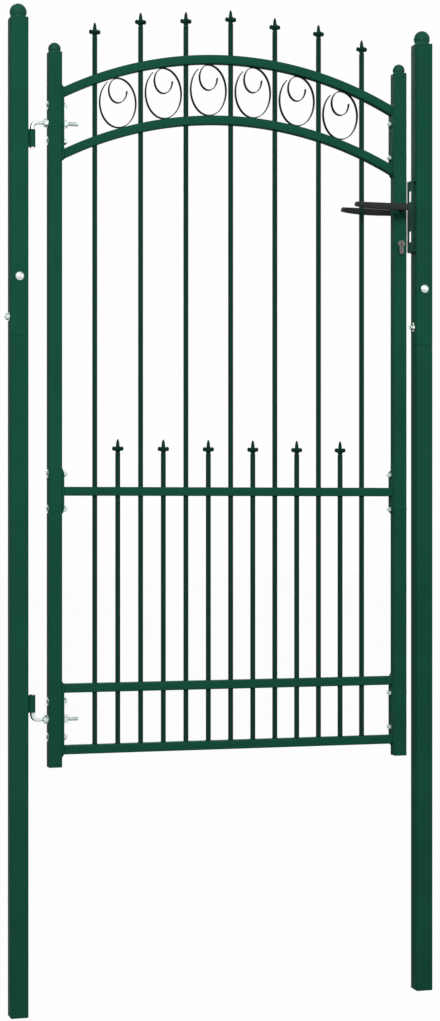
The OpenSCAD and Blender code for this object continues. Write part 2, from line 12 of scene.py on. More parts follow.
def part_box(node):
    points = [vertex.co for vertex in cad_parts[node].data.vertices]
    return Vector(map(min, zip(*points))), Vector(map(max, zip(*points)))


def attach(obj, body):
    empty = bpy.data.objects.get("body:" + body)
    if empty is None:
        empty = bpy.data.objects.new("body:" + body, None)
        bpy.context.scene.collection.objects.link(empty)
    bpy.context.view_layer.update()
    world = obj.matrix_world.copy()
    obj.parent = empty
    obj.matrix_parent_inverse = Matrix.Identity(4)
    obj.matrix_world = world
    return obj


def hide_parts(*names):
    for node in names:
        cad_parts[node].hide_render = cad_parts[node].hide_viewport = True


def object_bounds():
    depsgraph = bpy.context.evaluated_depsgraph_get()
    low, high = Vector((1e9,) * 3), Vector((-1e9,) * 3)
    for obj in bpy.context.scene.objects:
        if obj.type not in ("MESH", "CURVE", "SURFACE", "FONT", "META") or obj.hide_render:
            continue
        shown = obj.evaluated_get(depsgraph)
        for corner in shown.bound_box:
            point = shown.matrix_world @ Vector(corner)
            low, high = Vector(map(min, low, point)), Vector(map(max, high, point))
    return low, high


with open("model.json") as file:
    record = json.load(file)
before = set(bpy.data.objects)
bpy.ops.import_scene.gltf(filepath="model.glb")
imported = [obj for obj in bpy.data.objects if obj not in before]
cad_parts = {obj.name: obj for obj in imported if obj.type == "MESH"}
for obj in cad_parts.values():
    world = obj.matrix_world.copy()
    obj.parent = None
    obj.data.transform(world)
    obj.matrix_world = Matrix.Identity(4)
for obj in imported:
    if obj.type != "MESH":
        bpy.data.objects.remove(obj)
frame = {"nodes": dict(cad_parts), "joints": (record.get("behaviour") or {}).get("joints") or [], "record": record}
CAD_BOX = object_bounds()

bl_info = {
    "name": "Spear-top garden gate",
    "version": (1, 0, 0),
    "blender": (4, 5, 0),
    "location": "View3D > Sidebar > Gate",
    "description": "Detailed pieces, finishes and stage for an arched garden gate",
    "category": "Object",
}

NODES = frame["nodes"]
BODY_OF = {node: body for body, nodes in frame["record"]["behaviour"]["bodies"].items()
           for node in nodes}
JOINTS = {joint["name"]: joint for joint in frame["joints"]}
SLOT_OF = {part["node"]: part["material_slot"] for part in frame["record"]["subparts"]}
FINISHES = {}
SHARP_EDGE = math.radians(38)

# Sizes that the pieces share, in metres
PLUG_DEPTH = 0.015       # depth of a cap or a plug inside its tube
TUBE_MOUTH = 0.0149      # depth to which a tube is open at its ends
CAP_PLATE_H = 0.003      # thickness of a cap's square plate
THREADED = 0.0145        # threaded length of a carriage bolt
NUT_AF = 0.013           # width of a bolt's nut over its flats
NUT_H = 0.0065           # height of a bolt's nut
HOOK_NUT_AF = 0.017      # width of a hook's nut over its flats
WASHER_D = 0.020         # outer diameter of the washers
WASHER_H = 0.0016        # thickness of the washers
HOOK_BEND = 0.012        # centreline radius of a hook's bend
LONG_BOLT = 0.05         # a bolt from a post's front to its back is longer
NUT_SET_H = 0.015        # a nut with its washer is lower
HOOK_LEAD = 0.006        # thread that shows before a hook's first nut
ARCH_STEPS = 96          # facets along an arch
TUBE_CORNER = 0.002      # corner radius of arches, rails, bars and spear feet
CAP_CORNER = 0.003       # rounding of the upright edges of a cap's plate
CAP_EDGE = 0.0012        # rounding of the top edges of a cap's plate
WELD_INSET = 0.002       # distance from a tube's corner to the end of a bead
NEAR = 0.001             # distance within which faces count as level
GRIP_HALF = 0.006        # half the thickness of a lever's grip
GRIP_HEEL = 0.0072       # distance from a lever's axis to the back of its grip
GRIP_LEVEL = 0.0106      # least depth of a grip whose top is level
GRIP_SQUARE = 0.55       # power that squares a grip's round section

# Piece, replaced nodes, corner radius, wall and end bevel of the square tubes
TUBES = (
    ("hinge_post_tube", ("hinge_post_lower", "hinge_post_upper"), 0.003, 0.0015, 0.0009),
    ("latch_post_tube", ("latch_post_lower", "latch_post_upper"), 0.003, 0.0015, 0.0009),
    ("hinge_upright_tube", ("hinge_upright",), 0.0025, 0.0015, 0.0003),
    ("mid_rail_tube", ("mid_rail",), TUBE_CORNER, 0.0015, 0.0003),
    ("lower_rail_tube", ("lower_rail",), TUBE_CORNER, 0.0015, 0.0003),
    ("bottom_rail_tube", ("bottom_rail",), TUBE_CORNER, 0.0015, 0.0003),
    ("long_bar_tubes", ("long_bars",), TUBE_CORNER, 0.0012, 0.0003),
    ("short_bar_tubes", ("short_bars",), TUBE_CORNER, 0.0012, 0.0003),
)

# Name, place and width of the lamps, whose powers are properties of the stage
LAMPS = (
    ("left lamp", (-1.6, -4.7, 4.2), 2.4),
    ("right lamp", (4.2, -3.0, 2.6), 3.0),
    ("back lamp", (1.2, 4.6, 3.6), 2.4),
)
FLOOR_MATT = 0.22        # brightness of the floor's matt colour
FLOOR_WHITE = 0.975      # share of plain white in the floor, where it is seen
SKY_WHITE = 0.99         # brightness of the sky, where it is seen


# ---- Sizes and colours ----

def length(name, description, default):
    return FloatProperty(name=name, description=description, default=default,
                         min=0.0, unit="LENGTH", precision=4)


def colour(name, description, default):
    return FloatVectorProperty(name=name, description=description, default=default,
                               size=3, min=0.0, max=1.0, subtype="COLOR")


class GateSizes(PropertyGroup):
    post_ball: length("Post ball", "Diameter of the ball on a post", 0.0384)
    upright_ball: length("Upright ball", "Diameter of the ball on a leaf upright", 0.0284)
    dome: length("Bolt head", "Diameter of a carriage bolt's domed head", 0.019)
    dome_h: length("Bolt head height", "Height of a carriage bolt's domed head", 0.0045)
    bolt: length("Bolt", "Diameter of the carriage bolts", 0.008)
    bolt_pitch: length("Bolt pitch", "Thread pitch of the carriage bolts", 0.00125)
    hook: length("Hook rod", "Diameter of a hinge hook's rod", 0.010)
    hook_pitch: length("Hook pitch", "Thread pitch of a hinge hook", 0.0015)
    cross_rise: length("Spear cross", "Height of a spear's cross above its bar", 0.019)
    strip: length("Scroll strip", "Thickness of the scroll strip", 0.002)
    strip_edge: length("Strip edge", "Rounding on the edges of the scroll strip", 0.0004)
    bead: length("Weld bead", "Radius of a weld bead", 0.0016)
    ripple: length("Weld ripple", "Length of one ripple of a weld bead", 0.0024)


class GateColours(PropertyGroup):
    green: colour("Green", "Powder coat on posts and frame", (0.0090, 0.0700, 0.0425))
    # Bar green is the frame's green darkened as painted shade, for the shaded edges of the thin bars
    bar: colour("Bar green", "Powder coat on the bars, darkened as painted shade", (0.0085, 0.0370, 0.0250))
    cast: colour("Cast green", "Powder coat on the cast spear heads", (0.0060, 0.0330, 0.0230))
    scroll: colour("Scroll", "Powder coat on the scrolls", (0.0050, 0.0120, 0.0100))
    zinc: colour("Zinc", "Zinc plate on bolts, nuts and hooks", (0.64, 0.70, 0.68))
    # Nickel is darkened as painted shade, for the shadow on the key cylinder and latch
    nickel: colour("Nickel", "Nickel plate on the key cylinder and latch, darkened as painted shade", (0.125, 0.122, 0.113))
    steel: colour("Lock steel", "Steel of the lock case and front plate", (0.46, 0.47, 0.47))
    lever: colour("Lever", "Powder coat on the levers", (0.016, 0.017, 0.018))
    plug: colour("Plug", "Plastic of the plugs in open tubes", (0.018, 0.018, 0.018))


class GateStage(PropertyGroup):
    camera_at: FloatVectorProperty(
        name="Camera", description="Place of the camera", size=3,
        default=(-0.848, -4.546, 1.124), subtype="TRANSLATION", unit="LENGTH")
    camera_turn: FloatProperty(
        name="Camera turn", description="Turn of the level camera towards +X",
        default=math.radians(16.13), subtype="ANGLE")
    lens: FloatProperty(
        name="Lens", description="Focal length on a 36 mm sensor", default=73.06,
        min=10.0, unit="CAMERA")
    floor: length("Floor", "Width of the floor", 60.0)
    sky: FloatProperty(name="Sky", description="Strength of the sky's light",
                       default=0.20, min=0.0)
    left_lamp: FloatProperty(name="Left lamp", description="Power of the lamp at the left",
                             default=315.0, min=0.0, unit="POWER")
    right_lamp: FloatProperty(name="Right lamp", description="Power of the lamp at the right",
                              default=45.0, min=0.0, unit="POWER")
    back_lamp: FloatProperty(name="Back lamp", description="Power of the lamp behind the gate",
                             default=150.0, min=0.0, unit="POWER")


# ---- Shader maths ----

class Value:
    """A shader output on which arithmetic adds Math nodes."""

    def __init__(self, finish, socket):
        self.finish = finish
        self.socket = socket

    def maths(self, operation, *values):
        return self.finish.node("ShaderNodeMath", {"operation": operation},
                                dict(enumerate(values)))

    def __add__(self, other):
        return self.maths("ADD", self, other)

    def __sub__(self, other):
        return self.maths("SUBTRACT", self, other)

    def __rsub__(self, other):
        return self.maths("SUBTRACT", other, self)

    def __mul__(self, other):
        return self.maths("MULTIPLY", self, other)

    def __or__(self, other):
        return self.maths("MAXIMUM", self, other)

    __radd__ = __add__
    __rmul__ = __mul__


class Finish:
    """A procedural material, or a world's light, that is built up from nodes."""

    def __init__(self, owner):
        owner.use_nodes = True
        self.owner = owner
        self.tree = owner.node_tree
        self.tree.nodes.clear()

    @classmethod
    def of_material(cls, name):
        return cls(bpy.data.materials.new(name))

    @cached_property
    def place(self):
        return self.node("ShaderNodeTexCoord", out="Object")

    def node(self, kind, settings=None, values=None, out=0):
        made = self.tree.nodes.new(kind)
        for key, value in (settings or {}).items():
            if key == "stops":
                ramp = made.color_ramp.elements
                for index, (position, shade) in enumerate(value):
                    stop = ramp[index] if index < 2 else ramp.new(position)
                    stop.position = position
                    stop.color = (shade, shade, shade, 1.0)
            else:
                setattr(made, key, value)
        for key, value in (values or {}).items():
            socket = made.inputs[key]
            if isinstance(value, Value):
                self.tree.links.new(value.socket, socket)
            else:
                socket.default_value = value
        return Value(self, made.outputs[out])

    def noise(self, scale, detail=2.0, roughness=0.5, stretch=None):
        place = self.place
        if stretch:
            place = self.node("ShaderNodeMapping", values={"Vector": place, "Scale": stretch})
        return self.node("ShaderNodeTexNoise", values={
            "Vector": place, "Scale": scale, "Detail": detail, "Roughness": roughness})

    def ramp(self, value, *stops):
        return self.node("ShaderNodeValToRGB", {"stops": stops}, {"Fac": value})

    def blend(self, factor, first, second):
        sockets = {0: factor, 6: first, 7: second}
        for key in (6, 7):
            if not isinstance(sockets[key], Value):
                sockets[key] = (*sockets[key], 1.0)
        return self.node("ShaderNodeMix", {"data_type": "RGBA"}, sockets, out=2)

    def bump(self, height, distance, strength=1.0):
        return self.node("ShaderNodeBump", values={
            "Strength": strength, "Distance": distance, "Height": height})

    def surface(self, **values):
        names = {key.replace("_", " "): value for key, value in values.items()}
        shader = self.node("ShaderNodeBsdfPrincipled", values=names)
        self.output(shader)
        return self.owner

    def output(self, shader, kind="Material"):
        made = self.tree.nodes.new("ShaderNodeOutput" + kind)
        self.tree.links.new(shader.socket, made.inputs["Surface"])


def scaled(shade, factor):
    return tuple(channel * factor for channel in shade)


def powder_coat(name, shade, gloss=0.42, shine=0.006):
    """Satin powder coat: fine orange peel, faint cloudiness and a little dust."""
    finish = Finish.of_material(name)
    cloud = finish.ramp(finish.noise(7.0, 4.0, 0.6), (0.35, 0.0), (0.68, 1.0))
    speck = finish.ramp(finish.noise(850.0, 1.0), (0.60, 0.0), (0.74, 1.0))
    tone = finish.blend(cloud, scaled(shade, 0.92), scaled(shade, 1.09))
    tone = finish.blend(speck * 0.22, tone, scaled(shade, 1.9))
    peel = finish.noise(420.0, 2.0, 0.45) + finish.noise(1300.0, 1.0) * 0.35
    return finish.surface(
        Base_Color=tone,
        Roughness=cloud * 0.07 + speck * 0.05 + gloss,
        Normal=finish.bump(peel, 0.00022),
        Specular_IOR_Level=shine,
    )


def cast_coat(name, shade):
    """Powder coat over a cast surface, which keeps the sand's texture, with painted shade that darkens the hollows
    of the sand texture.
    """
    finish = Finish.of_material(name)
    cloud = finish.ramp(finish.noise(60.0, 3.0), (0.30, 0.0), (0.72, 1.0))
    pits_and_painted_shade = finish.ramp(finish.noise(420.0, 3.0, 0.6), (0.38, 0.0), (0.52, 1.0))
    # painted shade: the hollows of the bump are painted darker than the raised grains
    tone = finish.blend(pits_and_painted_shade, scaled(shade, 0.72), scaled(shade, 1.12))
    height = pits_and_painted_shade * 0.6 + finish.noise(190.0, 3.0)
    return finish.surface(
        Base_Color=tone,
        Roughness=cloud * 0.12 + 0.42,
        Normal=finish.bump(height, 0.0005),
        Specular_IOR_Level=0.015,
    )


def zinc_plate(name, shade):
    """Bright zinc with faint blue and straw passivation and drawn marks."""
    finish = Finish.of_material(name)
    tint = finish.ramp(finish.noise(55.0, 3.0, 0.55), (0.36, 0.0), (0.66, 1.0))
    film = finish.ramp(finish.noise(210.0, 4.0, 0.65), (0.42, 0.0), (0.70, 1.0))
    cold = (shade[0] * 0.95, shade[1], min(1.0, shade[2] * 1.04))
    warm = (shade[0], shade[1] * 0.985, shade[2] * 0.92)
    tone = finish.blend(tint, cold, warm)
    tone = finish.blend(film * 0.35, tone, scaled(shade, 0.82))
    return finish.surface(
        Base_Color=tone,
        Metallic=1.0,
        Roughness=film * 0.16 + 0.26,
        Normal=finish.bump(finish.noise(900.0, 2.0), 0.00012),
    )


def satin_metal(name, shade, gloss, stretch):
    """Brushed metal whose grain runs along the long way of stretch."""
    finish = Finish.of_material(name)
    grain = finish.noise(900.0, 3.0, 0.55, stretch)
    cloud = finish.ramp(finish.noise(38.0, 3.0), (0.32, 0.0), (0.70, 1.0))
    lines = finish.ramp(grain, (0.35, 0.0), (0.68, 1.0))
    tone = finish.blend(lines, scaled(shade, 0.90), scaled(shade, 1.07))
    return finish.surface(
        Base_Color=tone,
        Metallic=1.0,
        Roughness=cloud * 0.08 + lines * 0.10 + gloss,
        Normal=finish.bump(grain, 0.0001),
    )


def moulded_plastic(name, shade):
    """Matt black plastic with a spark-eroded texture."""
    finish = Finish.of_material(name)
    grain = finish.noise(700.0, 3.0, 0.6)
    cloud = finish.ramp(finish.noise(45.0, 2.0), (0.35, 0.0), (0.70, 1.0))
    return finish.surface(
        Base_Color=finish.blend(cloud, scaled(shade, 0.85), scaled(shade, 1.3)),
        Roughness=cloud * 0.08 + 0.52,
        Normal=finish.bump(grain, 0.0003),
        Specular_IOR_Level=0.35,
    )


# ---- Mesh helpers ----

def clean(bm):
    bmesh.ops.remove_doubles(bm, verts=bm.verts, dist=2e-6)
    bmesh.ops.recalc_face_normals(bm, faces=bm.faces)


def verts_of(items):
    return [item for item in items if isinstance(item, bmesh.types.BMVert)]


def extrude(bm, faces, vec):
    made = bmesh.ops.extrude_face_region(bm, geom=faces)["geom"]
    bmesh.ops.translate(bm, vec=vec, verts=verts_of(made))


def round_off(bm, items, offset, segments, affect="EDGES"):
    bmesh.ops.bevel(bm, geom=items, offset=offset, segments=segments, profile=0.5,
                    affect=affect, material=-1)


def new_object(name, bm):
    """Makes bm an object of the scene and frees bm."""
    mesh = bpy.data.meshes.new(name)
    bm.to_mesh(mesh)
    bm.free()
    made = bpy.data.objects.new(name, mesh)
    bpy.context.scene.collection.objects.link(made)
    return made


def finish_piece(name, bm, body, slot):
    """Makes bm a piece that rides on body and takes slot's finish."""
    for face in bm.faces:
        face.smooth = True
    for edge in bm.edges:
        edge.smooth = edge.is_manifold and edge.calc_face_angle() < SHARP_EDGE
    piece = new_object(name, bm)
    piece.data.materials.append(FINISHES[slot])
    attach(piece, body)
    return piece


def replacement(name, bm, *nodes):
    """Makes bm a piece that takes the place, body and finish of CAD nodes."""
    piece = finish_piece(name, bm, BODY_OF[nodes[0]], SLOT_OF[nodes[0]])
    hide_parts(*nodes)
    return piece


def stamp(bm, part, *places):
    """Adds a copy of part to bm at each place and frees part."""
    for place in places:
        mesh = bpy.data.meshes.new("stamp")
        part.to_mesh(mesh)
        mesh.transform(place)
        bm.from_mesh(mesh)
        bpy.data.meshes.remove(mesh)
    part.free()


def solids(node):
    """Boxes of a CAD node's separate solids, from left to right and then upwards."""
    bm = bmesh.new()
    bm.from_mesh(NODES[node].data)
    bmesh.ops.remove_doubles(bm, verts=bm.verts, dist=1e-6)
    boxes, seen = [], set()
    for start in bm.verts:
        if start in seen:
            continue
        seen.add(start)
        island, waiting = [], [start]
        while waiting:
            vert = waiting.pop()
            island.append(vert.co.copy())
            for edge in vert.link_edges:
                other = edge.other_vert(vert)
                if other not in seen:
                    seen.add(other)
                    waiting.append(other)
        low = Vector([min(point[axis] for point in island) for axis in range(3)])
        high = Vector([max(point[axis] for point in island) for axis in range(3)])
        boxes.append((low, high))
    bm.free()
    return sorted(boxes, key=lambda box: (round(box[0].x, 3), round(box[0].z, 3)))


def arc(x, z, radius, start, end, steps):
    """Points on an arc, with angles in degrees from +X towards +Z."""
    angles = [math.radians(start + (end - start) * step / steps) for step in range(steps + 1)]
    return [(x + radius * math.cos(angle), z + radius * math.sin(angle)) for angle in angles]


def lathe(profile, steps=32):
    """Solid turned about Z from (radius, height) points."""
    bm = bmesh.new()
    verts = [bm.verts.new((radius, 0.0, height)) for radius, height in profile]
    edges = [bm.edges.new(pair) for pair in zip(verts, verts[1:])]
    bmesh.ops.spin(bm, geom=verts + edges, cent=(0, 0, 0), axis=(0, 0, 1),
                   angle=math.tau, steps=steps, use_merge=True)
    clean(bm)
    return bm


def facing(direction, at):
    """Matrix that turns +Z to direction and moves the origin to at."""
    turn = Vector(direction).to_track_quat("Z", "Y").to_matrix().to_4x4()
    return Matrix.Translation(at) @ turn


def cut_flat(bm, at, normal):
    """Cuts off what lies beyond the plane and closes the cut."""
    geometry = bm.verts[:] + bm.edges[:] + bm.faces[:]
    cut = bmesh.ops.bisect_plane(bm, geom=geometry, plane_co=at, plane_no=normal,
                                 clear_outer=True)["geom_cut"]
    edges = [item for item in cut if isinstance(item, bmesh.types.BMEdge)]
    bmesh.ops.edgenet_fill(bm, edges=edges)


def thread(diameter, pitch, run, steps=20):
    """Threaded rod along +Z from the origin, with a chamfered end."""
    depth = 0.6 * pitch
    crest = diameter / 2
    turns = math.ceil(run / pitch) + 3
    bm = bmesh.new()
    profile = [(crest - depth, 0.0), (crest, 0.44), (crest, 0.56), (crest - depth, 1.0)]
    start = -1.37 * pitch
    verts = [bm.verts.new((radius, 0.0, start + height * pitch)) for radius, height in profile]
    edges = [bm.edges.new(pair) for pair in zip(verts, verts[1:])]
    bmesh.ops.spin(bm, geom=verts + edges, cent=(0, 0, 0), axis=(0, 0, 1),
                   dvec=(0, 0, pitch / steps), angle=math.tau * turns,
                   steps=steps * turns, use_merge=False)
    bmesh.ops.remove_doubles(bm, verts=bm.verts, dist=1e-6)
    cut_flat(bm, (0, 0, 0), (0, 0, -1))
    cut_flat(bm, (0, 0, run), (0, 0, 1))
    for vert in bm.verts:
        radius = Vector(vert.co[:2]).length
        limit = crest - depth + max(0.0, run - vert.co.z) * 1.2
        if radius > limit:
            vert.co.x *= limit / radius
            vert.co.y *= limit / radius
    clean(bm)
    return bm


def hex_nut(flats, height, bore):
    """Hexagon nut along +Z from the origin, chamfered at both ends."""
    corner = flats / math.sqrt(3)
    chamfer = (corner - flats / 2) * 0.9
    drop = chamfer * 0.58
    rim = bore / 2 + 0.0005
    bm = lathe([
        (bore / 2, 0.0005), (rim, 0.0), (corner - chamfer, 0.0), (corner, drop),
        (corner, height - drop), (corner - chamfer, height), (rim, height),
        (bore / 2, height - 0.0005), (bore / 2, 0.0005)], steps=48)
    for side in range(6):
        angle = math.tau * side / 6
        normal = Vector((math.cos(angle), math.sin(angle), 0))
        cut_flat(bm, normal * flats / 2, normal)
    clean(bm)
    return bm


def washer(outer, bore, height):
    edge = 0.0003
    return lathe([
        (bore / 2, 0.0), (outer / 2 - edge, 0.0), (outer / 2, edge),
        (outer / 2, height - edge), (outer / 2 - edge, height),
        (bore / 2 + edge, height), (bore / 2, height - edge), (bore / 2, 0.0)])


def domed_head(diameter, height):
    """Carriage bolt head with its underside at the origin and its dome towards -Z."""
    rim = height * 0.16
    rise = height - rim
    radius = (diameter ** 2 / 4 + rise ** 2) / (2 * rise)
    half_angle = math.degrees(math.asin(diameter / 2 / radius))
    dome = arc(0.0, radius - height, radius, 270.0, 270.0 + half_angle, 8)
    return lathe([*dome, (diameter / 2, 0.0), (0.0, 0.0)], steps=36)


def bead(bm, start, end, radius, ripple):
    """Weld bead with rounded ripples from start to end."""
    run = (end - start).length
    count = max(2, round(run / ripple))
    step = run / count
    profile = [(0.0, 0.0)]
    for index in range(count):
        for share, size in ((0.15, 0.82), (0.5, 1.0), (0.85, 0.9)):
            profile.append((radius * size, (index + share) * step))
    profile.append((0.0, run))
    stamp(bm, lathe(profile, steps=8), facing(end - start, start))


# ---- Operators ----

class Step:
    """What every operator of the gate does when it is called."""

    def execute(self, context):
        self.build(context.scene)
        return {"FINISHED"}


class GATE_OT_finishes(Step, Operator):
    """Make the finishes and put them on the frame's own parts"""
    bl_idname = "gate.finishes"
    bl_label = "Finishes"

    def build(self, scene):
        tones = scene.gate_colours
        FINISHES.update({
            "green_post": powder_coat("green powder coat on posts", tones.green),
            "green_cap": powder_coat("green powder coat on caps", tones.green, 0.34, 0.05),
            "green_frame": powder_coat("green powder coat on frame", tones.green),
            # the castings' coat is painted darker in the hollows of its texture, as painted shade
            "green_bar": powder_coat("green powder coat on bars", tones.bar),
            # the bars' coat is darkened as painted shade
            "green_cast": cast_coat("green powder coat on castings", tones.cast),
            "dark_scroll": powder_coat("dark powder coat on scrolls", tones.scroll, 0.40),
            "zinc": zinc_plate("zinc plate", tones.zinc),
            "lock_steel": satin_metal("satin lock steel", tones.steel, 0.34, (1, 1, 0.03)),
            # the nickel is darkened as painted shade
            "nickel": satin_metal("satin nickel", tones.nickel, 0.26, (1, 0.05, 1)),
            "black_lever": powder_coat("black powder coat on levers", tones.lever, 0.34, 0.16),
            "black_plug": moulded_plastic("moulded plastic plugs", tones.plug),
        })
        for node, piece in NODES.items():
            if not piece.material_slots:
                piece.data.materials.append(None)
            for place in piece.material_slots:
                place.material = FINISHES[SLOT_OF[node]]


def cap_with_ball(node, ball):
    """Square cap plate whose top flares into a neck and a ball."""
    low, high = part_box(node)
    centre = (low + high) / 2
    width = high.x - low.x
    tube_top = low.z + PLUG_DEPTH
    bm = bmesh.new()
    plate = bmesh.ops.create_cube(bm, size=1.0)["verts"]
    bmesh.ops.scale(bm, vec=(width, width, CAP_PLATE_H), verts=plate)
    upright_edges = [edge for edge in bm.edges
                     if abs(edge.verts[0].co.z - edge.verts[1].co.z) > CAP_PLATE_H / 2]
    round_off(bm, upright_edges, CAP_CORNER, 4)
    top_edges = [edge for edge in bm.edges
                 if all(vert.co.z > CAP_PLATE_H * 0.4 for vert in edge.verts)]
    round_off(bm, top_edges, CAP_EDGE, 3)
    bmesh.ops.translate(bm, vec=(centre.x, centre.y, tube_top + CAP_PLATE_H / 2), verts=bm.verts)
    neck = ball * 0.45
    foot = width / 2 - 0.0016
    ball_z = high.z - ball / 2
    base = tube_top + CAP_PLATE_H - 0.0004
    join = ball_z - math.sqrt(ball ** 2 / 4 - neck ** 2)
    rise = join - base
    profile = [
        (0.0, base), (foot, base), (foot - (foot - neck) * 0.35, base + rise * 0.12),
        (foot - (foot - neck) * 0.75, base + rise * 0.42), (neck, base + rise * 0.85)]
    start = math.degrees(math.asin((join - ball_z) / (ball / 2)))
    profile += arc(0.0, ball_z, ball / 2, start, 90.0, 20)
    stamp(bm, lathe(profile, steps=40), Matrix.Translation((centre.x, centre.y, 0)))
    return bm


class GATE_OT_ball_caps(Step, Operator):
    """Model the ball caps of the posts and of the leaf's uprights"""
    bl_idname = "gate.ball_caps"
    bl_label = "Ball caps"

    def build(self, scene):
        sizes = scene.gate_sizes
        for tube, ball in (("post", sizes.post_ball), ("upright", sizes.upright_ball)):
            for name in (f"hinge_{tube}_ball", f"latch_{tube}_ball"):
                replacement(name, cap_with_ball(name + "_cap", ball), name + "_cap")


def square_bar(across, run, radius, end_bevel):
    """Solid bar along Z about the origin, with rounded edges and bevelled ends."""
    bm = bmesh.new()
    bmesh.ops.create_cube(bm, size=1.0)
    bmesh.ops.scale(bm, vec=(across, across, run), verts=bm.verts)
    long_edges = [edge for edge in bm.edges
                  if abs(edge.verts[0].co.z - edge.verts[1].co.z) > run / 2]
    round_off(bm, long_edges, radius, 5)
    ends = [face for face in bm.faces if abs(face.normal.z) > 0.9]
    bmesh.ops.inset_region(bm, faces=ends, thickness=end_bevel, depth=end_bevel)
    bmesh.ops.scale(bm, vec=(1, 1, run / 2 / (run / 2 + end_bevel)), verts=bm.verts)
    return bm


def square_tube(bm, low, high, radius, wall, end_bevel):
    """Adds to bm a square tube with open mouths that fills the box."""
    size = high - low
    axis = max(range(3), key=lambda index: size[index])
    run = size[axis]
    part = square_bar(size[(axis + 1) % 3], run, radius, end_bevel)
    for end in [face for face in part.faces if abs(face.normal.z) > 0.99]:
        inward = -end.normal * min(TUBE_MOUTH, run / 3)
        bmesh.ops.inset_region(part, faces=[end], thickness=wall - end_bevel)
        extrude(part, [end], inward)
        if end.is_valid:
            part.faces.remove(end)
    clean(part)
    direction = [0.0, 0.0, 0.0]
    direction[axis] = 1.0
    stamp(bm, part, facing(direction, (low + high) / 2))


class GATE_OT_tubes(Step, Operator):
    """Model the square tubes of posts, uprights, rails and bars"""
    bl_idname = "gate.tubes"
    bl_label = "Tubes"

    def build(self, scene):
        for name, nodes, radius, wall, end_bevel in TUBES:
            bm = bmesh.new()
            for node in nodes:
                for low, high in solids(node):
                    square_tube(bm, low, high, radius, wall, end_bevel)
            replacement(name, bm, *nodes)


def arch_circle(node):
    """Centre height and outer radius of an arch, from its box."""
    low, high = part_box(node)
    tube = high.y - low.y
    half = (high.x - low.x) / 2
    rise = high.z - low.z
    radius = (rise ** 2 - tube ** 2 + half ** 2) / (2 * (rise - tube))
    return high.z - radius, radius


class GATE_OT_arches(Step, Operator):
    """Model the two arched rails"""
    bl_idname = "gate.arches"
    bl_label = "Arches"

    def build(self, scene):
        for node in ("upper_arch", "lower_arch"):
            low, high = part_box(node)
            width = high.y - low.y
            centre_z, radius = arch_circle(node)
            reach = math.asin((high.x - low.x) / 2 / (radius - width)) + 0.004
            bm = bmesh.new()
            ring = bmesh.ops.create_grid(bm, x_segments=1, y_segments=1, size=width / 2)["verts"]
            round_off(bm, ring, TUBE_CORNER, 4, "VERTICES")
            middle = Vector(((low.x + high.x) / 2, 0, centre_z))
            place = (Matrix.Translation(middle) @ Matrix.Rotation(-reach, 4, "Y")
                     @ Matrix.Translation((0, 0, radius - width / 2))
                     @ Matrix.Rotation(math.pi / 2, 4, "Y"))
            bmesh.ops.transform(bm, matrix=place, verts=bm.verts)
            bmesh.ops.spin(bm, geom=bm.verts[:] + bm.edges[:] + bm.faces[:], cent=middle,
                           axis=(0, 1, 0), angle=2 * reach, steps=ARCH_STEPS)
            clean(bm)
            cut_flat(bm, (low.x, 0, 0), (-1, 0, 0))
            cut_flat(bm, (high.x, 0, 0), (1, 0, 0))
            clean(bm)
            replacement(node + "_tube", bm, node)


def softened(name, node, rounding):
    """Replaces a CAD node by its own mesh with rounded edges, as on punched sheet."""
    bm = bmesh.new()
    bm.from_mesh(NODES[node].data)
    bmesh.ops.remove_doubles(bm, verts=bm.verts, dist=2e-6)
    bmesh.ops.dissolve_limit(bm, angle_limit=math.radians(0.6), verts=bm.verts, edges=bm.edges)
    piece = replacement(name, bm, node)
    bevel = piece.modifiers.new("rounded edges", "BEVEL")
    bevel.width = rounding
    bevel.segments = 2
    bevel.limit_method = "ANGLE"
    bevel.angle_limit = math.radians(50)
    bevel.harden_normals = True


class GATE_OT_plates(Step, Operator):
    """Round the edges of the joining plates, keeper, lock plate and barrels"""
    bl_idname = "gate.plates"
    bl_label = "Plates"

    def build(self, scene):
        softened("hinge_joining_plates", "hinge_side_plates", 0.0006)
        softened("latch_joining_plates", "latch_side_plates", 0.0006)
        softened("folded_keeper", "keeper", 0.0005)
        softened("lock_face", "lock_front_plate", 0.0003)
        softened("upper_barrel", "upper_hinge_barrel", 0.0005)
        softened("lower_barrel", "lower_hinge_barrel", 0.0005)
        softened("sprung_latch", "latch_bolt", 0.0003)


def carriage_bolt(sizes, run):
    """Carriage bolt with its head's underside at the origin and its shank run long."""
    bm = domed_head(sizes.dome, sizes.dome_h)
    plain = run - THREADED
    radius = sizes.bolt / 2 * 0.96
    stamp(bm, lathe([(0, 0), (radius, 0), (radius, plain + 0.001), (0, plain + 0.001)], 20),
          Matrix.Identity(4))
    stamp(bm, thread(sizes.bolt, sizes.bolt_pitch, THREADED), Matrix.Translation((0, 0, plain)))
    return bm


def inward(low, high, middle_x):
    """Direction from a plate bolt's head to its tip, which points to the leaf's middle."""
    return Vector((1.0 if (low.x + high.x) / 2 < middle_x else -1.0, 0, 0))


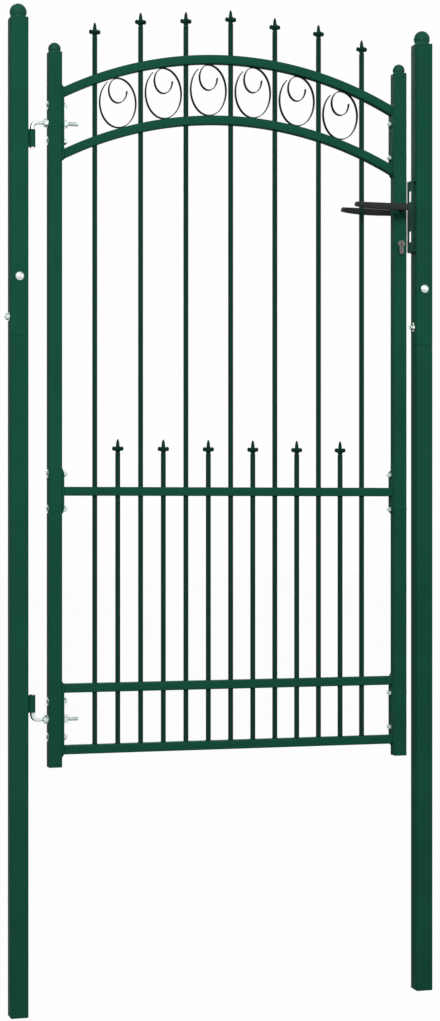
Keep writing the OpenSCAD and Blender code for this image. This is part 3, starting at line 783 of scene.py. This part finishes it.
class GATE_OT_bolts(Step, Operator):
    """Model the carriage bolts with their threads, nuts and washers"""
    bl_idname = "gate.bolts"
    bl_label = "Bolts"

    def build(self, scene):
        sizes = scene.gate_sizes
        low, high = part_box("plate_bolts")
        middle_x = (low.x + high.x) / 2
        bolts, nuts = bmesh.new(), bmesh.new()
        for low, high in solids("plate_bolts"):
            ahead = inward(low, high, middle_x)
            centre = (low + high) / 2
            seat = centre - ahead * ((high.x - low.x) / 2 - sizes.dome_h)
            stamp(bolts, carriage_bolt(sizes, high.x - low.x - sizes.dome_h), facing(ahead, seat))
        for low, high in solids("plate_bolt_nuts"):
            ahead = inward(low, high, middle_x)
            seat = (low + high) / 2 - ahead * (high.x - low.x) / 2
            stamp(nuts, hex_nut(NUT_AF, high.x - low.x, sizes.bolt), facing(ahead, seat))
        replacement("plate_carriage_bolts", bolts, "plate_bolts")
        replacement("plate_hex_nuts", nuts, "plate_bolt_nuts")
        for post in ("hinge_post", "latch_post"):
            self.post_bolts(post, sizes)

    def post_bolts(self, post, sizes):
        tube_low, tube_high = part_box(post + "_upper")
        bm = bmesh.new()
        for low, high in solids(post + "_bolts"):
            size, centre = high - low, (low + high) / 2
            if size.y > LONG_BOLT:
                seat = Vector((centre.x, low.y + sizes.dome_h, centre.z))
                run = size.y - sizes.dome_h
                stamp(bm, carriage_bolt(sizes, run), facing((0, 1, 0), seat))
            elif size.x < NUT_SET_H and low.x < tube_low.x - NEAR:
                self.nut_on_washer(bm, (-1, 0, 0), Vector((high.x, centre.y, centre.z)), sizes)
            elif low.y > tube_high.y - NEAR:
                self.nut_on_washer(bm, (0, 1, 0), Vector((centre.x, low.y, centre.z)), sizes)
            else:
                seat = Vector((high.x - sizes.dome_h, centre.y, centre.z))
                run = size.x - sizes.dome_h
                stamp(bm, carriage_bolt(sizes, run), facing((-1, 0, 0), seat))
        replacement(post + "_bolt_sets", bm, post + "_bolts")

    def nut_on_washer(self, bm, direction, seat, sizes):
        stamp(bm, washer(WASHER_D, sizes.bolt, WASHER_H), facing(direction, seat))
        stamp(bm, hex_nut(NUT_AF, NUT_H, sizes.bolt),
              facing(direction, seat + Vector(direction) * WASHER_H))


class GATE_OT_hinges(Step, Operator):
    """Model the hinge hooks with their bends, threads, nuts and washers"""
    bl_idname = "gate.hinges"
    bl_label = "Hinge hooks"

    def build(self, scene):
        sizes = scene.gate_sizes
        axis = Vector(JOINTS["leaf_swing"]["pos_m"])
        thread_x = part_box("hinge_hook_nuts")[0].x - HOOK_LEAD
        for node, pin_side in (("upper_hinge_hook", -1), ("lower_hinge_hook", 1)):
            low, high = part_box(node)
            radius = sizes.hook / 2
            rod_z = high.z - radius if pin_side < 0 else low.z + radius
            pin_z = low.z if pin_side < 0 else high.z
            bm = bmesh.new()
            ring = bmesh.ops.create_circle(bm, cap_ends=True, radius=radius, segments=24)["verts"]
            bmesh.ops.translate(bm, vec=(axis.x, 0, pin_z), verts=ring)
            extrude(bm, bm.faces[:], (0, 0, rod_z + pin_side * HOOK_BEND - pin_z))
            end = self.last_face(bm, rod_z + pin_side * HOOK_BEND)
            bmesh.ops.spin(bm, geom=[end, *end.edges, *end.verts],
                           cent=(axis.x + HOOK_BEND, 0, rod_z + pin_side * HOOK_BEND),
                           axis=(0, -pin_side, 0), angle=math.pi / 2, steps=10)
            end = max(bm.faces, key=lambda face: face.calc_center_median().x)
            extrude(bm, [end], (thread_x + 0.001 - (axis.x + HOOK_BEND), 0, 0))
            drop = [face for face in bm.faces
                    if len(face.verts) > 4 and 1e-5 < abs(face.calc_center_median().z - pin_z)
                    and face.calc_center_median().x < thread_x]
            bmesh.ops.delete(bm, geom=drop, context="FACES_ONLY")
            clean(bm)
            stamp(bm, thread(sizes.hook, sizes.hook_pitch, high.x - thread_x),
                  facing((1, 0, 0), (thread_x, 0, rod_z)))
            replacement(node.replace("hook", "rod"), bm, node)
        bm = bmesh.new()
        upright_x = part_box("hinge_upright")[0].x
        for low, high in solids("hinge_hook_nuts"):
            centre = (low + high) / 2
            outside = high.x < upright_x + NEAR
            direction = Vector((-1.0 if outside else 1.0, 0, 0))
            seat = Vector((high.x if outside else low.x, centre.y, centre.z))
            stamp(bm, washer(WASHER_D, sizes.hook, WASHER_H), facing(direction, seat))
            stamp(bm, hex_nut(HOOK_NUT_AF, high.x - low.x - WASHER_H, sizes.hook),
                  facing(direction, seat + direction * WASHER_H))
        replacement("hinge_rod_nuts", bm, "hinge_hook_nuts")

    def last_face(self, bm, z):
        return min((face for face in bm.faces if len(face.verts) > 4),
                   key=lambda face: abs(face.calc_center_median().z - z))


def spear_head(height, span, cross_z, bar):
    """Cast spear head with a square foot and a cross of four knobs, its foot at the origin."""
    foot = cross_z - 0.0095
    bm = bmesh.new()
    block = square_bar(bar, foot, TUBE_CORNER, 0.0008)
    clean(block)
    stamp(bm, block, facing((0, 0, 1), (0, 0, foot / 2)))
    body = lathe([
        (0.0, foot - 0.002), (0.0044, foot - 0.002), (0.0047, foot + 0.0008),
        (0.0056, foot + 0.0028), (0.0068, foot + 0.0048), (0.0074, cross_z - 0.0018),
        (0.0072, cross_z + 0.0004), (0.0062, cross_z + 0.0030), (0.0047, cross_z + 0.0052),
        (0.0041, cross_z + 0.0068), (0.0040, cross_z + 0.0088), (0.0038, cross_z + 0.0115),
        (0.0033, cross_z + 0.0150), (0.0024, height - 0.0032), (0.0014, height - 0.0008),
        (0.0, height)], steps=20)
    stamp(bm, body, Matrix.Identity(4))
    reach = span / 2
    arm = [(0.0, 0.0), (0.0048, 0.0), (0.0042, 0.0050), (0.0038, 0.0060), (0.0041, 0.0068),
           (0.0049, 0.0081), (0.0052, 0.0095), (0.0047, 0.0109), (0.0034, 0.0123),
           (0.0014, reach - 0.0004), (0.0, reach)]
    for quarter in range(4):
        angle = quarter * math.pi / 2
        direction = (math.cos(angle), math.sin(angle), 0)
        stamp(bm, lathe(arm, steps=14), facing(direction, (0, 0, cross_z)))
    return bm


class GATE_OT_spears(Step, Operator):
    """Model the cast spear heads on the bars"""
    bl_idname = "gate.spears"
    bl_label = "Spear heads"

    def build(self, scene):
        sizes = scene.gate_sizes
        for node, bars in (("long_bar_spears", "long_bars"), ("short_bar_spears", "short_bars")):
            tops = {round((low.x + high.x) / 2, 3): high.z for low, high in solids(bars)}
            bm = bmesh.new()
            places = []
            for low, high in solids(node):
                x = (low.x + high.x) / 2
                foot = tops[min(tops, key=lambda bar_x: abs(bar_x - x))]
                places.append(Matrix.Translation((x, 0, foot)))
                height, span = high.z - foot, high.x - low.x
            bar_low, bar_high = solids(bars)[0]
            head = spear_head(height, span, sizes.cross_rise, bar_high.x - bar_low.x)
            stamp(bm, head, *places)
            replacement(node.replace("spears", "heads"), bm, node)


class GATE_OT_scrolls(Step, Operator):
    """Model the scrolls between the arches"""
    bl_idname = "gate.scrolls"
    bl_label = "Scrolls"

    def build(self, scene):
        sizes = scene.gate_sizes
        bm = bmesh.new()
        for low, high in solids("scrolls"):
            centre = (low + high) / 2
            across = (high.x - low.x - sizes.strip) / 2
            upright = (high.z - low.z - sizes.strip) / 2
            inner = [self.oval(across / 2, upright / 2, centre.z + upright / 2, angle)
                     for angle in range(90, 360, 5)]
            outer = [self.oval(across, upright, centre.z, angle)
                     for angle in range(360, 686, 4)]
            path = [bm.verts.new((centre.x + x, low.y, z)) for x, z in inner + outer]
            edges = [bm.edges.new(pair) for pair in zip(path, path[1:])]
            made = bmesh.ops.extrude_edge_only(bm, edges=edges)["geom"]
            bmesh.ops.translate(bm, vec=(0, high.y - low.y, 0), verts=verts_of(made))
        bmesh.ops.recalc_face_normals(bm, faces=bm.faces)
        piece = replacement("scroll_strips", bm, "scrolls")
        wall = piece.modifiers.new("strip", "SOLIDIFY")
        wall.thickness = sizes.strip
        wall.offset = 0.0
        wall.use_even_offset = True
        edge = piece.modifiers.new("rolled edges", "BEVEL")
        edge.width = sizes.strip_edge
        edge.segments = 2
        edge.angle_limit = math.radians(60)

    def oval(self, across, upright, z, angle):
        turn = math.radians(angle)
        return across * math.sin(turn), z + upright * math.cos(turn)


class GATE_OT_levers(Step, Operator):
    """Model the two lever handles"""
    bl_idname = "gate.levers"
    bl_label = "Levers"

    def build(self, scene):
        for node in ("front_lever", "back_lever"):
            low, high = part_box(node)
            axis = Vector(JOINTS["handle_turn"]["pos_m"])
            outward = -1.0 if low.y < 0 and high.y < 0 else 1.0
            face_y = low.y if outward < 0 else high.y
            root_y = high.y if outward < 0 else low.y
            bm = self.grip(axis, low, high, face_y, outward)
            neck = abs(face_y - root_y)
            shaft = [(0.0, 0.0), (0.0079, 0.0), (0.0079, 0.0012), (0.0068, 0.0022),
                     (0.0064, 0.006), (0.0064, neck - 0.014), (0.0072, neck - 0.009),
                     (0.0078, neck - 0.005), (0.0076, neck - 0.0016), (0.0064, neck - 0.0004),
                     (0.0, neck)]
            stamp(bm, lathe(shaft, steps=32), facing((0, outward, 0), (axis.x, root_y, axis.z)))
            replacement(node + "_grip", bm, node)

    def grip(self, axis, low, high, face_y, outward):
        """Flat-topped grip with a belly, drawn from the axis to the tip."""
        top = high.z - axis.z
        run = axis.x - low.x
        # Distance from the axis, depth and thickness of each section
        stations = (
            (-GRIP_HEEL, 0.0096, 0.0060), (-0.0050, 0.0134, 0.0100), (0.0, 0.0158, 0.0118),
            (0.014, 0.0160, 0.0118), (0.034, 0.0164, 0.0116), (0.052, 0.0165, 0.0114),
            (0.070, 0.0162, 0.0112), (0.088, 0.0152, 0.0110), (0.104, 0.0138, 0.0106),
            (0.116, 0.0122, 0.0100), (run - 0.0028, 0.0108, 0.0094),
            (run - 0.0006, 0.0084, 0.0074), (run, 0.0060, 0.0050))
        middle_y = face_y - outward * GRIP_HALF
        bm = bmesh.new()
        ring = bmesh.ops.create_circle(bm, cap_ends=True, radius=1.0, segments=24)["verts"]
        shape = {vert: tuple(vert.co[:2]) for vert in ring}
        end = bm.faces[:][0]
        self.place(shape, ring, axis, stations[0], top, middle_y)
        for station in stations[1:]:
            made = bmesh.ops.extrude_face_region(bm, geom=[end])["geom"]
            verts = verts_of(made)
            for vert in verts:
                source = min(ring, key=lambda old: (old.co - vert.co).length)
                shape[vert] = shape[source]
            end = next(item for item in made if isinstance(item, bmesh.types.BMFace))
            self.place(shape, verts, axis, station, top, middle_y)
            ring = verts
        inner = [face for face in bm.faces if len(face.verts) > 4 and face != end
                 and abs(face.calc_center_median().x - (axis.x + GRIP_HEEL)) > 1e-5]
        bmesh.ops.delete(bm, geom=inner, context="FACES_ONLY")
        clean(bm)
        return bm

    def place(self, shape, verts, axis, station, top, middle_y):
        along, depth, thick = station
        slope = min(1.0, depth / GRIP_LEVEL)
        for vert in verts:
            side, rise = shape[vert]
            side = math.copysign(abs(side) ** GRIP_SQUARE, side)
            rise = math.copysign(abs(rise) ** GRIP_SQUARE, rise)
            vert.co = (axis.x - along, middle_y + side * thick / 2,
                       axis.z + top * slope - depth / 2 + rise * depth / 2)


class GATE_OT_key_cylinder(Step, Operator):
    """Model the profile cylinder with its turning core and keyway"""
    bl_idname = "gate.key_cylinder"
    bl_label = "Key cylinder"

    def build(self, scene):
        low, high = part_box("key_cylinder")
        radius = (high.x - low.x) / 2
        centre = Vector(((low.x + high.x) / 2, 0, high.z - radius))
        tail = 0.005
        foot = low.z + tail - centre.z
        side = math.degrees(math.acos(tail / radius))
        outline = arc(0, 0, radius, -side, 180 + side, 28) + arc(0, foot, tail, 180, 360, 12)
        bm = bmesh.new()
        verts = [bm.verts.new((centre.x + x, low.y, centre.z + z)) for x, z in outline]
        bm.faces.new(verts)
        extrude(bm, bm.faces[:], (0, high.y - low.y, 0))
        clean(bm)
        rims = [edge for edge in bm.edges
                if abs(edge.verts[0].co.y - edge.verts[1].co.y) < 1e-6]
        round_off(bm, rims, 0.0005, 2)
        body = replacement("profile_cylinder", bm, "key_cylinder")
        cutter = bmesh.new()
        for outward in (-1.0, 1.0):
            face_y = low.y if outward < 0 else high.y
            ring = lathe([(0.0062, -0.0006), (0.0067, -0.0006), (0.0067, 0.001), (0.0062, 0.001),
                          (0.0062, -0.0006)], steps=40)
            stamp(cutter, ring, facing((0, outward, 0), (centre.x, face_y, centre.z)))
            slot = bmesh.new()
            bmesh.ops.create_cube(slot, size=1.0)
            bmesh.ops.scale(slot, vec=(0.0013, 0.010, 0.0078), verts=slot.verts)
            stamp(cutter, slot, Matrix.Translation((centre.x, face_y, centre.z - 0.0012)))
        tool = new_object("cutter", cutter)
        cut = body.modifiers.new("keyway", "BOOLEAN")
        cut.object = tool
        cut.solver = "EXACT"
        graph = bpy.context.evaluated_depsgraph_get()
        body.data = bpy.data.meshes.new_from_object(body.evaluated_get(graph))
        body.modifiers.clear()
        bpy.data.objects.remove(tool)


class GATE_OT_welds(Step, Operator):
    """Lay the weld beads between tubes, plates, barrels and scrolls"""
    bl_idname = "gate.welds"
    bl_label = "Weld beads"

    def build(self, scene):
        sizes = scene.gate_sizes
        self.radius, self.ripple = sizes.bead, sizes.ripple
        self.bm = bmesh.new()
        for node in ("mid_rail", "lower_rail", "bottom_rail"):
            low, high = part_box(node)
            for x in (low.x, high.x):
                self.box_edges(x, low, high)
        for node in ("upper_arch", "lower_arch"):
            self.arch_ends(node)
        rail_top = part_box("bottom_rail")[1].z
        for low, high in solids("long_bars") + solids("short_bars"):
            for x in (low.x, high.x):
                self.run((x, low.y + 0.001, rail_top), (x, high.y - 0.001, rail_top))
        finish_piece("leaf_welds", self.bm, "leaf", "green_frame")
        self.bm = bmesh.new()
        post_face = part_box("hinge_post_lower")[1].x
        for node in ("upper_hinge_barrel", "lower_hinge_barrel"):
            low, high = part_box(node)
            for y in (low.y * 0.6, high.y * 0.6):
                self.run((post_face, y, low.z + 0.001), (post_face, y, high.z - 0.001))
        low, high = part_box("keeper")
        for z in (low.z, high.z):
            self.run((high.x - 0.0004, low.y + WELD_INSET, z),
                     (high.x - 0.0004, high.y - WELD_INSET, z))
        finish_piece("post_welds", self.bm, "posts", "green_post")

    def run(self, start, end):
        bead(self.bm, Vector(start), Vector(end), self.radius, self.ripple)

    def box_edges(self, x, low, high):
        for y in (low.y, high.y):
            self.run((x, y, low.z + WELD_INSET), (x, y, high.z - WELD_INSET))
        for z in (low.z, high.z):
            self.run((x, low.y + WELD_INSET, z), (x, high.y - WELD_INSET, z))

    def arch_ends(self, node):
        low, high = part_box(node)
        centre_z, radius = arch_circle(node)
        width = high.y - low.y
        half = (high.x - low.x) / 2
        top = centre_z + math.sqrt(radius ** 2 - half ** 2)
        foot = centre_z + math.sqrt((radius - width) ** 2 - half ** 2)
        for x in (low.x, high.x):
            for y in (low.y, high.y):
                self.run((x, y, foot + WELD_INSET), (x, y, top - WELD_INSET))
            for z in (foot, top):
                self.run((x, low.y + WELD_INSET, z), (x, high.y - WELD_INSET, z))


class GATE_OT_stage(Step, Operator):
    """Set the floor, the light and the camera"""
    bl_idname = "gate.stage"
    bl_label = "Stage"

    def build(self, scene):
        stage = scene.gate_stage
        self.floor(stage)
        self.sky(scene, stage)
        for name, at, size in LAMPS:
            self.lamp(name, getattr(stage, name.replace(" ", "_")), at, size)
        camera = bpy.data.cameras.new("camera")
        camera.lens = stage.lens
        camera.sensor_width = 36.0
        holder = bpy.data.objects.new("camera", camera)
        scene.collection.objects.link(holder)
        holder.location = stage.camera_at
        holder.rotation_euler = (math.pi / 2, 0.0, -stage.camera_turn)
        scene.camera = holder
        scene.view_settings.view_transform = "Standard"

    def seen(self, finish):
        """1 for rays that show the background: straight, mirrored or let through."""
        straight, mirrored, through = [
            finish.node("ShaderNodeLightPath", out=f"Is {name} Ray")
            for name in ("Camera", "Glossy", "Transmission")]
        return straight | mirrored | through

    def floor(self, stage):
        bm = bmesh.new()
        bmesh.ops.create_grid(bm, x_segments=1, y_segments=1, size=stage.floor / 2)
        floor = new_object("floor", bm)
        finish = Finish.of_material("white floor")
        matt = finish.node("ShaderNodeBsdfDiffuse", values={"Color": (*[FLOOR_MATT] * 3, 1)})
        white = finish.node("ShaderNodeEmission", values={"Color": (1, 1, 1, 1)})
        finish.output(finish.node("ShaderNodeMixShader", values={
            0: self.seen(finish) * FLOOR_WHITE, 1: matt, 2: white}))
        floor.data.materials.append(finish.owner)

    def sky(self, scene, stage):
        world = bpy.data.worlds.new("sky")
        scene.world = world
        finish = Finish(world)
        seen = self.seen(finish)
        light = finish.node("ShaderNodeBackground", values={
            "Color": (1, 1, 1, 1), "Strength": seen * (SKY_WHITE - stage.sky) + stage.sky})
        finish.output(light, "World")

    def lamp(self, name, power, at, size):
        light = bpy.data.lights.new(name, "AREA")
        light.energy = power
        light.size = size
        lamp = bpy.data.objects.new(name, light)
        bpy.context.scene.collection.objects.link(lamp)
        low, high = CAD_BOX
        lamp.matrix_world = facing(Vector(at) - (low + high) / 2, at)


class GATE_PT_panel(Panel):
    """Sidebar panel with the gate's pieces, sizes, colours and stage"""
    bl_idname = "GATE_PT_panel"
    bl_label = "Garden gate"
    bl_space_type = "VIEW_3D"
    bl_region_type = "UI"
    bl_category = "Gate"

    def draw(self, context):
        for group in (context.scene.gate_sizes, context.scene.gate_colours,
                      context.scene.gate_stage):
            box = self.layout.box()
            for name in group.__annotations__:
                box.prop(group, name)
        for operator in STEPS:
            self.layout.operator(operator.bl_idname)


GROUPS = {"gate_sizes": GateSizes, "gate_colours": GateColours, "gate_stage": GateStage}
STEPS = [GATE_OT_finishes, GATE_OT_tubes, GATE_OT_arches, GATE_OT_ball_caps, GATE_OT_plates,
         GATE_OT_bolts, GATE_OT_hinges, GATE_OT_spears, GATE_OT_scrolls, GATE_OT_levers,
         GATE_OT_key_cylinder, GATE_OT_welds, GATE_OT_stage]


def register():
    for group in (*GROUPS.values(), *STEPS, GATE_PT_panel):
        bpy.utils.register_class(group)
    for name, group in GROUPS.items():
        setattr(bpy.types.Scene, name, PointerProperty(type=group))


def unregister():
    for name in GROUPS:
        delattr(bpy.types.Scene, name)
    for group in reversed((*GROUPS.values(), *STEPS, GATE_PT_panel)):
        bpy.utils.unregister_class(group)


def main():
    register()
    for step in STEPS:
        module, name = step.bl_idname.split(".")
        getattr(getattr(bpy.ops, module), name)()


if __name__ == "__main__":
    main()
